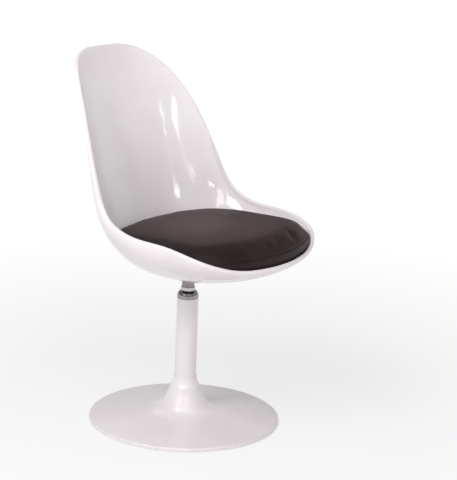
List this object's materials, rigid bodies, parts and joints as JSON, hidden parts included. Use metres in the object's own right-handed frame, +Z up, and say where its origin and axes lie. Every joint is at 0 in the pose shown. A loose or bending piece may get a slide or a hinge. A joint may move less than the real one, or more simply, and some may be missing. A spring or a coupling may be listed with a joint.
{
  "type": "swivel dining chair",
  "caption": "Moulded bucket-shell dining chair with a loose seat cushion, turning on a steel spindle in a round column that stands on a weighted trumpet base.",
  "frame": {"origin": "on the floor, on the swivel axis, which is the centre of the base", "axes": "+Z is up along the swivel axis, -Y is the way the sitter faces and +X is the sitter's left"},
  "size_m": [0.4822, 0.5144, 0.8246],
  "materials": {
    "shell": "satin gloss white moulded plastic",
    "cushion": "dark brown upholstery leather",
    "board": "plain birch plywood",
    "tape": "black woven nylon",
    "gasket": "matt black rubber sheet",
    "seat_steel": "satin black powder coat",
    "fasteners": "bright zinc plate",
    "spindle": "polished hard chrome",
    "bearing_steel": "plain turned steel",
    "bush": "natural acetal",
    "cap": "polished chrome",
    "column": "satin white lacquer",
    "base": "satin white lacquer",
    "ballast": "black primer",
    "glide": "black polyethylene"
  },
  "bodies": {
    "pedestal": {"thrust_washer": "bush", "bearing_seat": "bearing_steel", "lower_bush": "bush", "upper_bush": "bush", "column_cap": "cap", "column_tube": "column", "neck_ring": "base", "base_cover": "base", "base_plate": "ballast", "base_hub": "bearing_steel", "tie_bolt": "fasteners", "floor_glide": "glide"},
    "seat": {"seat_shell": "shell", "seat_cushion": "cushion", "cushion_board": "board", "hook_tape": "tape", "loop_tape": "tape", "plate_gasket": "gasket", "seat_plate": "seat_steel", "plate_bolts": "fasteners", "plate_washers": "fasteners", "lock_nuts": "fasteners", "spindle": "spindle", "retaining_washer": "bearing_steel", "retaining_clip": "bearing_steel"}
  },
  "joints": [
    {"name": "seat_swivel", "type": "hinge", "parent": "pedestal", "child": "seat", "pos_m": [0, 0, 0.154], "axis": [0, 0, 1], "continuous": true}
  ]
}
